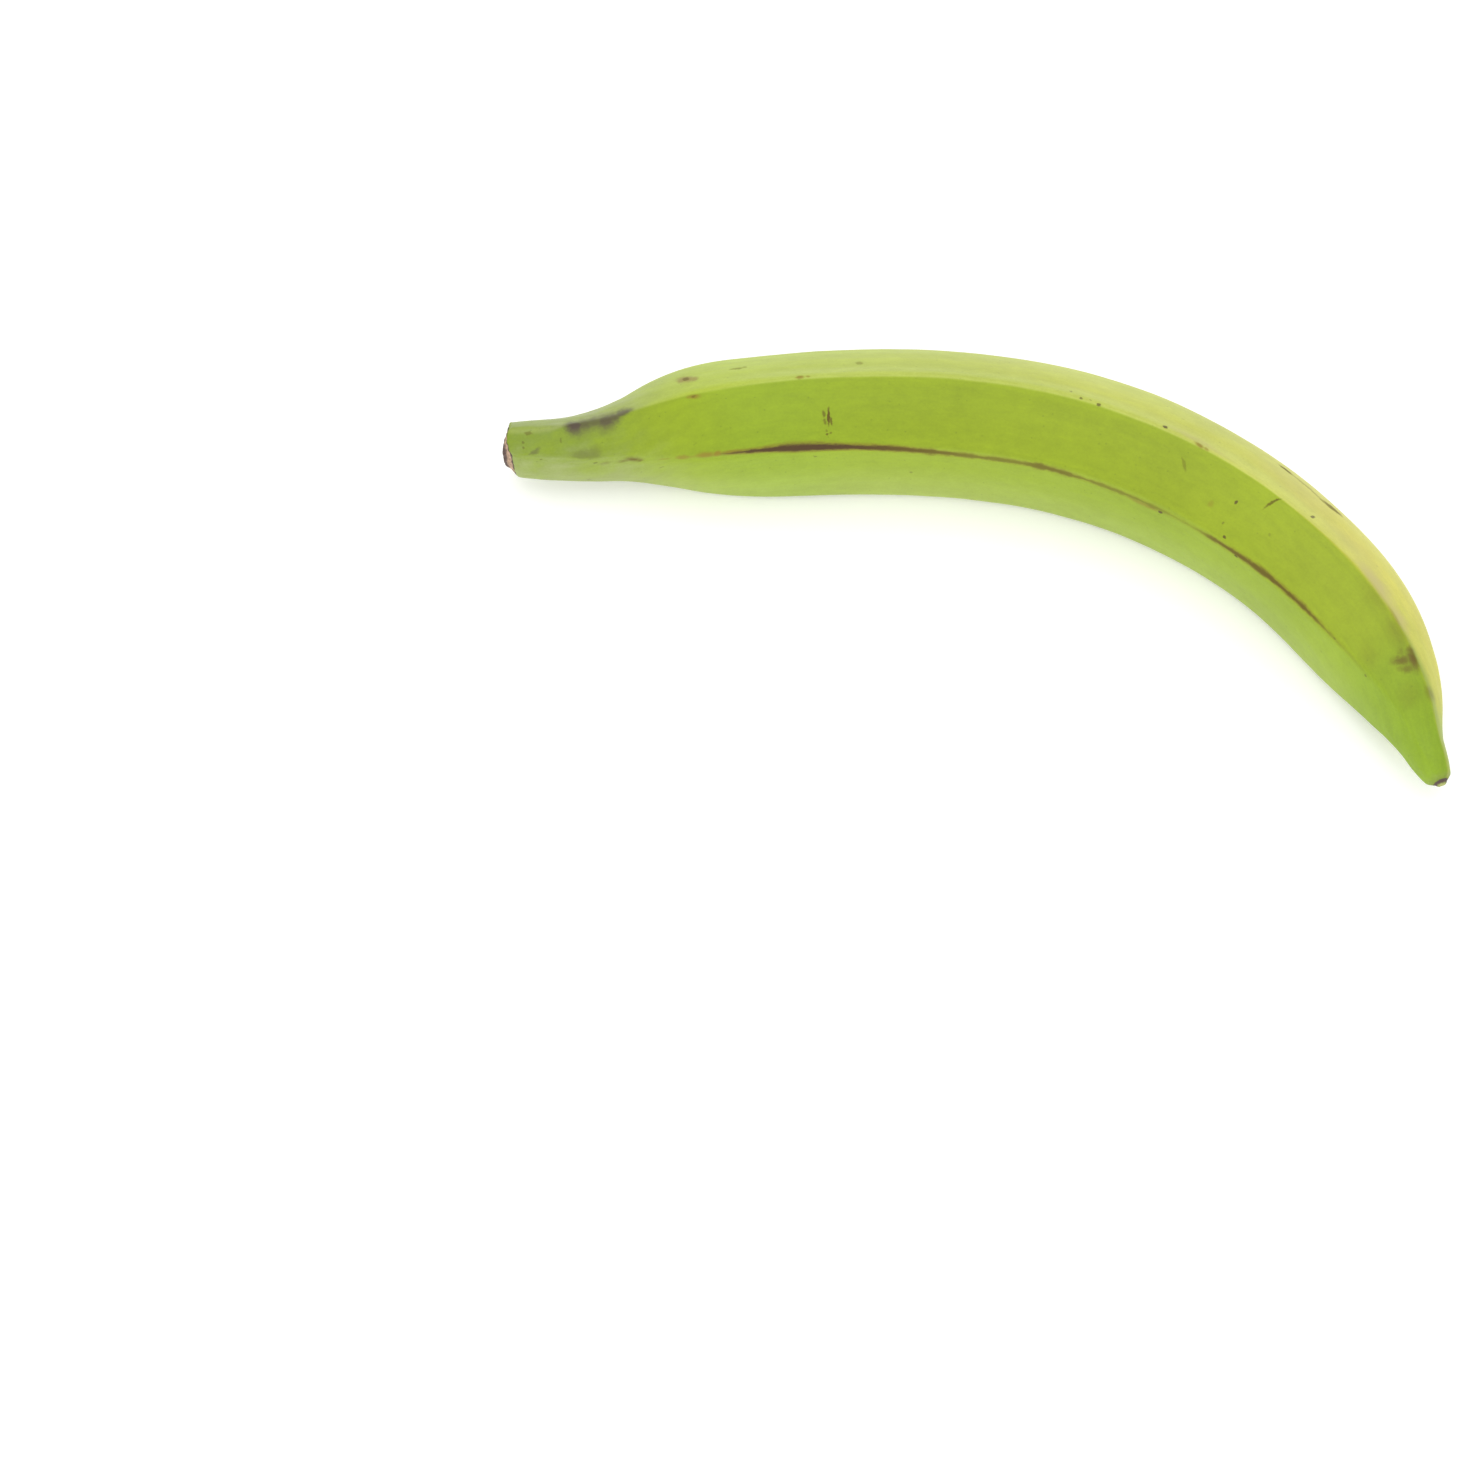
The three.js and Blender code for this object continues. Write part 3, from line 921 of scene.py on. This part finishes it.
def fine_tones(wires, peel):
    """Slow patches, lengthwise streaks, fine grain and pores, lighter and darker."""
    broad = wires.noise(wires.solid, 30, 3)
    mottles = wires.noise(wires.stretched(5, 2.6), 1, 4, 0.6)
    streaks = wires.noise(wires.stretched(26, 1.5), 1, 4, 0.6)
    fibres = wires.noise(wires.stretched(6, 0.45), 1, 3, 0.6)
    grain = wires.noise(wires.solid, 1500, 2)
    bands = wires.noise(wires.stretched(150, 5), 1, 2)
    tone = 1.0
    for noise, reach in (
        (broad, 0.3), (bands, 0.2), (mottles, 0.28), (streaks, 0.12), (fibres, 0.1), (grain, 0.2),
    ):
        tone = wires.times_plus(wires.centred(noise), reach, tone)
    toned = wires.add("CombineXYZ", tone, tone, wires.math("POWER", tone, 2)).outputs[0]
    peel = wires.mix(1, peel, toned, "MULTIPLY")
    pores = wires.add("TexVoronoi", wires.stretched(2.6, 2.2))
    pores.inputs["Scale"].default_value = 1.0
    chosen = wires.add("SeparateColor", pores.outputs["Color"]).outputs[0]
    pore = wires.times(wires.step(pores.outputs["Distance"], 0.16, 0.05), wires.step(chosen, 0.55, 0.6))
    shade = wires.times_plus(pore, -0.2, 1)
    return wires.mix(1, peel, wires.grey(shade), "MULTIPLY"), streaks, fibres


def scar_mask(wires):
    """The dried line's core, its softer brown edge and how dark its core is."""
    path = wires.over_length((p.along, p.turn) for p in SCAR)
    width = wires.over_length((p.along, p.width / SCAR_WIDEST) for p in SCAR)
    strength = wires.over_length((p.along, p.strength) for p in SCAR)
    girth = wires.math("DIVIDE", wires.around, wires.math("SUBTRACT", wires.turn, TURN["top"]))
    off = wires.times(wires.math("SUBTRACT", wires.turn, path), girth)
    rough = wires.noise(wires.stretched(3, 1.5), 1, 5, 0.7)
    off = wires.math("ABSOLUTE", wires.times_plus(wires.centred(rough), 2.6, off))
    later = wires.step(wires.along, 100, 130)
    swelling = wires.noise(wires.stretched(9, 30), 1, 3, 0.6)
    swelling = wires.times_plus(wires.step(swelling, 0.3, 0.7, -0.55, 0.5), later, 1)
    width = wires.times(width, swelling)
    reach = wires.times_plus(width, SCAR_WIDEST, 0.1)
    softness = wires.times_plus(later, 0.35, 1.3)
    core = wires.times(wires.step(wires.math("DIVIDE", off, reach), softness, 0.45), strength)
    edge = wires.times_plus(width, SCAR_WIDEST, 1.2)
    soft = wires.times(wires.step(wires.math("DIVIDE", off, edge), 1.3, 0.5), strength)
    return core, soft, wires.step(wires.along, 92, 122, 1, 0.1)


def draw_marks(wires, peel, colours):
    """Lays the marks on the peel, the faintest first, and says where it is dry."""
    fine = wavered(wires, wires.peel, 900, 0.5 * MM)
    coarse = wavered(wires, wires.peel, 260, 1.3 * MM)
    coarse = wavered(wires, coarse, 1100, 0.7 * MM)
    core, soft, dark = scar_mask(wires)
    masks = {
        kind: marks_mask(wires, place, MARKS[kind], softness)
        for kind, place, softness in (
            ("blush", coarse, 0.8), ("bruise", coarse, 0.6), ("smudge", coarse, 0.8),
            ("rust", fine, 0.6), ("cork", fine, 0.4), ("speck", fine, 0.3),
        )
    }
    for kind in ("blush", "bruise", "smudge", "rust"):
        peel = wires.mix(masks[kind], peel, opaque(getattr(colours, kind)))
    peel = wires.mix(wires.times(soft, 0.7), peel, opaque(colours.rust, 0.75))
    peel = wires.mix(masks["cork"], peel, opaque(colours.cork))
    peel = wires.mix(core, peel, wires.mix(dark, opaque(colours.cork), opaque(colours.scar)))
    peel = wires.mix(masks["speck"], peel, opaque(colours.cork, 0.8))
    return peel, wires.math("MAXIMUM", core, masks["cork"])


def end_colours(wires, peel, colours):
    """The cut, pale between its dried rim and middle, and the dried scar at the tip.

    It gives the noise that breaks up their edges too.
    """
    rough = wires.noise(wires.solid, 620, 4, 0.65)
    centred = wires.centred(rough)
    inward = wires.math("SUBTRACT", -CUT_RIM, wires.along)
    depth = wires.times_plus(centred, 1.6, inward)
    cut = wires.ramp(wires.math("DIVIDE", depth, ENDS_RAMP), (
        (0, opaque(colours.dried)),
        (0.05, opaque(colours.dried, 1.2)),
        (0.1, opaque(blend(colours.dried, colours.core, 0.6))),
        (0.14, opaque(colours.core)),
    ))
    slow = wires.centred(wires.noise(wires.solid, 230, 2))
    middle = wires.step(wires.times_plus(slow, 5, depth), 2.3, 4.2)
    cut = wires.mix(middle, cut, opaque(colours.dried, 1.25))
    spotted = wires.step(wires.noise(wires.solid, 1000, 3, 0.6), 0.3, 0.7, 0.62, 1.3)
    cut = wires.mix(1, cut, wires.grey(spotted), "MULTIPLY")
    peel = wires.mix(wires.step(depth, -0.35, 0.05), peel, cut)
    past = wires.times_plus(centred, 1.6, wires.math("SUBTRACT", wires.along, LENGTH))
    browning = wires.step(past, -1, 3.4, 0, 0.35)
    peel = wires.mix(browning, peel, opaque(colours.dried, 1.8))
    scar = wires.ramp(wires.math("DIVIDE", past, ENDS_RAMP), (
        (0.3, opaque(colours.dried)),
        (0.42, opaque(colours.dried, 1.2)),
        (0.5, opaque(blend(colours.dried, colours.pale, 0.6))),
        (0.65, opaque(blend(colours.core, colours.pale, 0.6), 1.15)),
    ))
    return wires.mix(wires.step(past, 2.2, 2.7), peel, scar), rough


def peel_material(colours):
    """The waxy green peel, its marks, and the dried places at both ends."""
    material = bpy.data.materials.new("green peel")
    material.use_nodes = True
    tree = material.node_tree
    tree.nodes.clear()
    wires = PeelWiring(tree)
    peel = side_colours(wires, colours)
    peel = neck_and_bloom(wires, peel, colours)
    peel, streaks, fibres = fine_tones(wires, peel)
    peel, dry = draw_marks(wires, peel, colours)
    peel, rough = end_colours(wires, peel, colours)

    shader = wires.add("BsdfPrincipled")
    wires.feed(shader.inputs["Base Color"], peel)
    cut = wires.step(wires.along, -1, -1.5)
    ends = wires.math("MAXIMUM", cut, wires.step(wires.along, LENGTH + 1.6, LENGTH + 2.4))
    dull = wires.math("MAXIMUM", dry, ends)
    waxy = wires.times_plus(streaks, 0.16, WAX_ROUGHNESS)
    wires.feed(shader.inputs["Roughness"], wires.times_plus(dull, DRY_ROUGHNESS, waxy))
    shader.inputs["IOR"].default_value = PEEL_IOR
    relief = wires.times_plus(streaks, 0.6, wires.times(fibres, 0.25))
    relief = wires.times_plus(dry, 0.35, relief)
    relief = wires.times_plus(wires.times(ends, rough), 5, relief)
    bump = wires.add("Bump")
    bump.inputs["Strength"].default_value = BUMP_STRENGTH
    bump.inputs["Distance"].default_value = BUMP_HEIGHT
    wires.feed(bump.inputs["Height"], relief)
    wires.feed(shader.inputs["Normal"], bump.outputs[0])
    output = wires.add("OutputMaterial", shader.outputs[0])
    output.is_active_output = True
    return material


class OBJECT_OT_plantain_fruit(Operator):
    """Model the plantain: stalk, ridged peel and beaked tip in one skin"""

    bl_idname = "object.plantain_fruit"
    bl_label = "Plantain"

    def execute(self, context):
        form = context.scene.plantain_form
        deselect_all()
        rings = ring_places(form)
        fruit = grow_cage(form, rings)
        fruit.name = "plantain_skin"
        tear_rim(fruit, rings)
        map_peel(fruit, rings)
        weigh_zones(fruit, rings)
        smooth_skin(fruit, form.levels)
        add_relief(fruit, form)
        set_in_frame(fruit)
        press_flat(fruit)
        fruit.vertex_groups.clear()
        fruit.data.materials.append(peel_material(context.scene.plantain_colours))
        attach(fruit, "root")
        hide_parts(NODE)
        return {"FINISHED"}


def floor_material(tone, glow):
    """A matt white light table."""
    material = bpy.data.materials.new("pale floor")
    material.use_nodes = True
    shader = material.node_tree.nodes["Principled BSDF"]
    shader.inputs["Base Color"].default_value = opaque(tone)
    shader.inputs["Roughness"].default_value = FLOOR_ROUGHNESS
    shader.inputs["Emission Color"].default_value = WHITE
    shader.inputs["Emission Strength"].default_value = glow
    return material


def add_soft_box(name, power, size, place, aim):
    """An area light of this size in metres, turned toward its aim."""
    bpy.ops.object.light_add(type="AREA", location=place)
    box = bpy.context.object
    box.name = name
    box.data.energy = power
    box.data.shape = "RECTANGLE"
    box.data.size, box.data.size_y = size
    box.rotation_mode = "QUATERNION"
    box.rotation_quaternion = (Vector(aim) - box.location).to_track_quat("-Z", "Y")


class OBJECT_OT_plantain_studio(Operator):
    """Lay the pale floor, light it softly and set the camera over the fruit"""

    bl_idname = "object.plantain_studio"
    bl_label = "Studio"

    def execute(self, context):
        studio = context.scene.plantain_studio
        deselect_all()
        bpy.ops.mesh.primitive_plane_add(size=FLOOR_SIZE, location=(0, 0, 0))
        floor = context.object
        floor.name = "pale_floor"
        floor.data.materials.append(floor_material(studio.floor_tone, studio.floor_glow))

        world = bpy.data.worlds.new("even sky")
        world.use_nodes = True
        sky = world.node_tree.nodes["Background"]
        sky.inputs["Color"].default_value = WHITE
        sky.inputs["Strength"].default_value = studio.sky
        context.scene.world = world
        add_soft_box(
            "soft box above", studio.key, size=(1.4, 1.2), place=(-0.1, 0.1, 1.2), aim=(0, 0, 0))
        add_soft_box(
            "low fill", studio.fill, size=(1.8, 0.5), place=(0.2, -1.2, 0.35), aim=(0, 0, 0.02))

        bpy.ops.object.camera_add()
        camera = context.object
        aim = Vector(studio.aim)
        flat = math.cos(studio.elevation)
        back = Vector((
            math.sin(studio.azimuth) * flat,
            -math.cos(studio.azimuth) * flat,
            math.sin(studio.elevation),
        ))
        camera.location = aim + back * studio.distance
        camera.rotation_mode = "QUATERNION"
        camera.rotation_quaternion = (-back).to_track_quat("-Z", "Y")
        camera.data.lens = studio.lens
        camera.data.clip_start, camera.data.clip_end = CLIP_RANGE
        context.scene.camera = camera
        context.scene.view_settings.view_transform = "Standard"
        return {"FINISHED"}


class VIEW3D_PT_plantain(Panel):
    """The sizes, colours and studio, and the buttons that build them"""

    bl_label = "Green Plantain"
    bl_space_type = "VIEW_3D"
    bl_region_type = "UI"
    bl_category = "Plantain"

    def draw(self, context):
        for name, group in GROUPS.items():
            box = self.layout.box()
            for key in group.__annotations__:
                box.prop(getattr(context.scene, name), key)
        for operator in OPERATORS:
            self.layout.operator(operator.bl_idname)


GROUPS = {
    "plantain_form": PlantainForm,
    "plantain_colours": PlantainColours,
    "plantain_studio": PlantainStudio,
}
OPERATORS = (OBJECT_OT_plantain_fruit, OBJECT_OT_plantain_studio)
CLASSES = (*GROUPS.values(), *OPERATORS, VIEW3D_PT_plantain)


def register():
    for cls in CLASSES:
        bpy.utils.register_class(cls)
    for name, group in GROUPS.items():
        setattr(bpy.types.Scene, name, PointerProperty(type=group))


def unregister():
    for name in GROUPS:
        delattr(bpy.types.Scene, name)
    for cls in reversed(CLASSES):
        bpy.utils.unregister_class(cls)


def main():
    register()
    bpy.ops.object.plantain_fruit()
    bpy.ops.object.plantain_studio()


if __name__ == "__main__":
    main()
